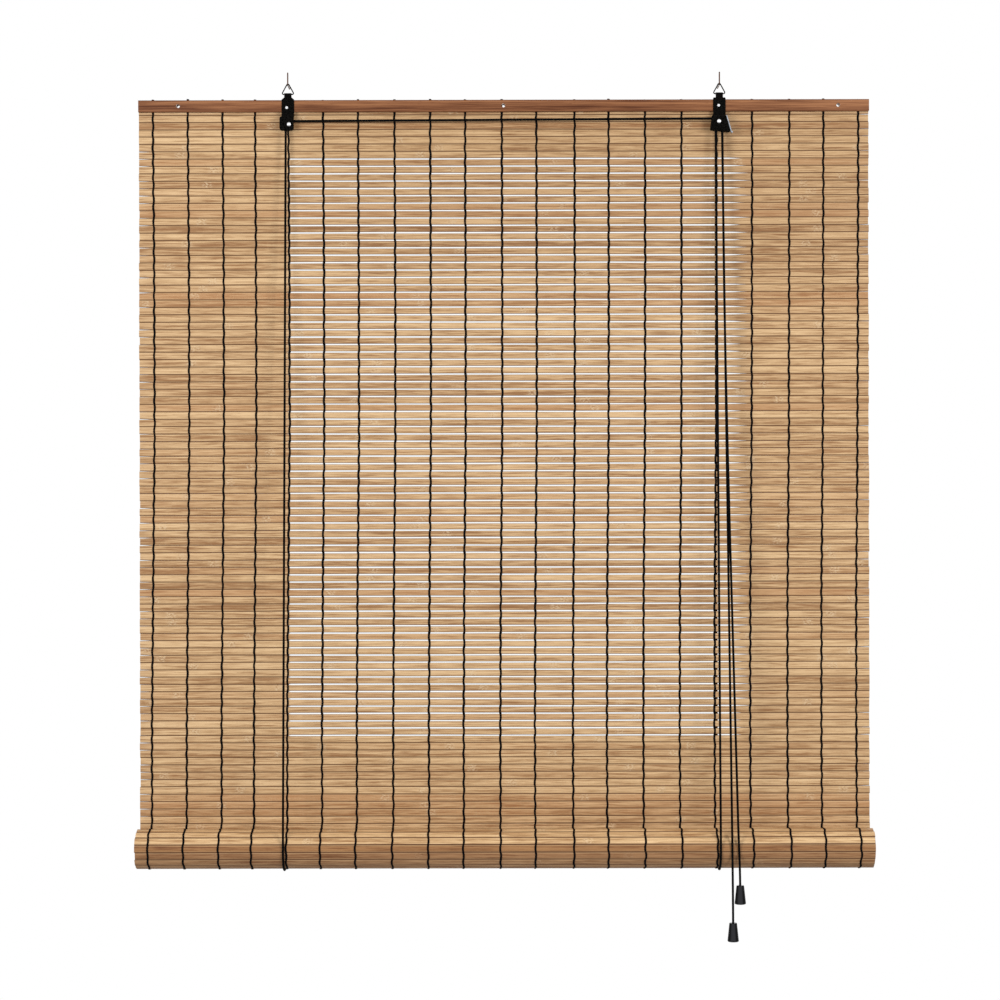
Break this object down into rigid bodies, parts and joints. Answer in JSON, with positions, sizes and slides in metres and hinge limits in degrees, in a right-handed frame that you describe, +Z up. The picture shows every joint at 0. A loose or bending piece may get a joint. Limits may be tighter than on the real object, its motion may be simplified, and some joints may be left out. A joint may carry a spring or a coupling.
{
  "type": "bamboo roll-up blind",
  "caption": "Bamboo slat blind, partly rolled up, bound by black yarns, hung by wire rings from screw hooks and raised by cords through pulleys and a cord lock.",
  "frame": {"origin": "midway between the two wall hooks, on their screw axes, at the wall face", "axes": "+X along the headrail to the right, +Z up, -Y towards the room"},
  "size_m": [0.9, 0.0798, 1.0622],
  "materials": {
    "bamboo_slats": "split bamboo with nodes, satin, uneven in colour",
    "stained_batten": "reddish brown stain over a straight grain",
    "plain_batten": "plain sanded wood",
    "black_yarn": "twisted black cotton yarn",
    "black_cord": "braided black cord",
    "black_sheet": "black lacquered sheet steel",
    "black_wire": "black lacquered wire",
    "hook_wire": "dull bronzed wire",
    "bright_steel": "bright domed heads",
    "lever_steel": "worn blackened steel",
    "pulley_plastic": "black moulded plastic",
    "tassel_plastic": "black satin plastic"
  },
  "bodies": {
    "root": {"wall_hook_left": "hook_wire", "wall_hook_right": "hook_wire", "ring_left": "black_wire", "ring_right": "black_wire"},
    "blind": {"headrail": "stained_batten", "back_batten": "plain_batten", "slat_mat": "bamboo_slats", "warp_01": "black_yarn", "warp_02": "black_yarn", "warp_03": "black_yarn", "warp_04": "black_yarn", "warp_05": "black_yarn", "warp_06": "black_yarn", "warp_07": "black_yarn", "warp_08": "black_yarn", "warp_09": "black_yarn", "warp_10": "black_yarn", "warp_11": "black_yarn", "warp_12": "black_yarn", "warp_13": "black_yarn", "warp_14": "black_yarn", "warp_15": "black_yarn", "warp_16": "black_yarn", "warp_17": "black_yarn", "warp_18": "black_yarn", "warp_19": "black_yarn", "warp_20": "black_yarn", "warp_21": "black_yarn", "bracket_left": "black_sheet", "bracket_right": "black_sheet", "bracket_nails": "bright_steel", "axle_left": "bright_steel", "axle_right": "bright_steel", "lock_pin": "black_sheet", "lift_left_front": "black_cord", "lift_right_front": "black_cord", "lift_left_back": "black_cord", "lift_right_back": "black_cord", "cross_cord": "black_cord", "right_wrap": "black_cord", "pull_cord_rear": "black_cord", "pull_cord_front": "black_cord"},
    "left_wheel": {"pulley_left": "pulley_plastic"},
    "rear_wheel": {"pulley_rear": "pulley_plastic"},
    "front_wheel": {"pulley_front": "pulley_plastic"},
    "lever": {"lock_lever": "lever_steel"},
    "lift": {"lift_left_loop": "black_cord", "lift_right_loop": "black_cord"},
    "roll": {"roll_turns": "bamboo_slats", "roll_warps": "black_yarn", "bottom_batten": "plain_batten"},
    "tassels": {"tassel_high": "tassel_plastic", "tassel_low": "tassel_plastic", "tassel_knots": "black_cord"}
  },
  "joints": [
    {"name": "hang_swing", "type": "hinge", "parent": "root", "child": "blind", "pos_m": [0, -0.0128, -0.01105], "axis": [-1, 0, 0], "range_deg": [0, 30]},
    {"name": "left_pulley_turn", "type": "hinge", "parent": "blind", "child": "left_wheel", "pos_m": [-0.264, -0.0161, -0.04855], "axis": [0, 1, 0], "continuous": true},
    {"name": "rear_pulley_turn", "type": "hinge", "parent": "blind", "child": "rear_wheel", "pos_m": [0.2646, -0.0161, -0.04615], "axis": [0, 1, 0], "continuous": true},
    {"name": "front_pulley_turn", "type": "hinge", "parent": "blind", "child": "front_wheel", "pos_m": [0.2646, -0.0195, -0.04615], "axis": [0, 1, 0], "continuous": true},
    {"name": "lock_release", "type": "hinge", "parent": "blind", "child": "lever", "pos_m": [0.2716, -0.01525, -0.04165], "axis": [0, -1, 0], "range_deg": [0, 15]},
    {"name": "roll_rise", "type": "slide", "parent": "blind", "child": "lift", "axis": [0, 0, 1], "range_m": [0, 0.84], "deforming": ["slat_mat", "warp_01", "warp_02", "warp_03", "warp_04", "warp_05", "warp_06", "warp_07", "warp_08", "warp_09", "warp_10", "warp_11", "warp_12", "warp_13", "warp_14", "warp_15", "warp_16", "warp_17", "warp_18", "warp_19", "warp_20", "warp_21", "lift_left_front", "lift_right_front", "lift_left_back", "lift_right_back"]},
    {"name": "roll_turn", "type": "hinge", "parent": "lift", "child": "roll", "pos_m": [0, -0.0328, -0.93715], "axis": [1, 0, 0], "range_deg": [-2161, 0]},
    {"name": "tassel_drop", "type": "slide", "parent": "lift", "child": "tassels", "axis": [0, 0, -1], "range_m": [0, 2.53], "deforming": ["pull_cord_rear", "pull_cord_front"]}
  ],
  "couplings": [
    {"joint": "roll_turn", "follows": "roll_rise", "rad_per_m": -44.88},
    {"joint": "tassel_drop", "follows": "roll_rise", "ratio": 3}
  ]
}
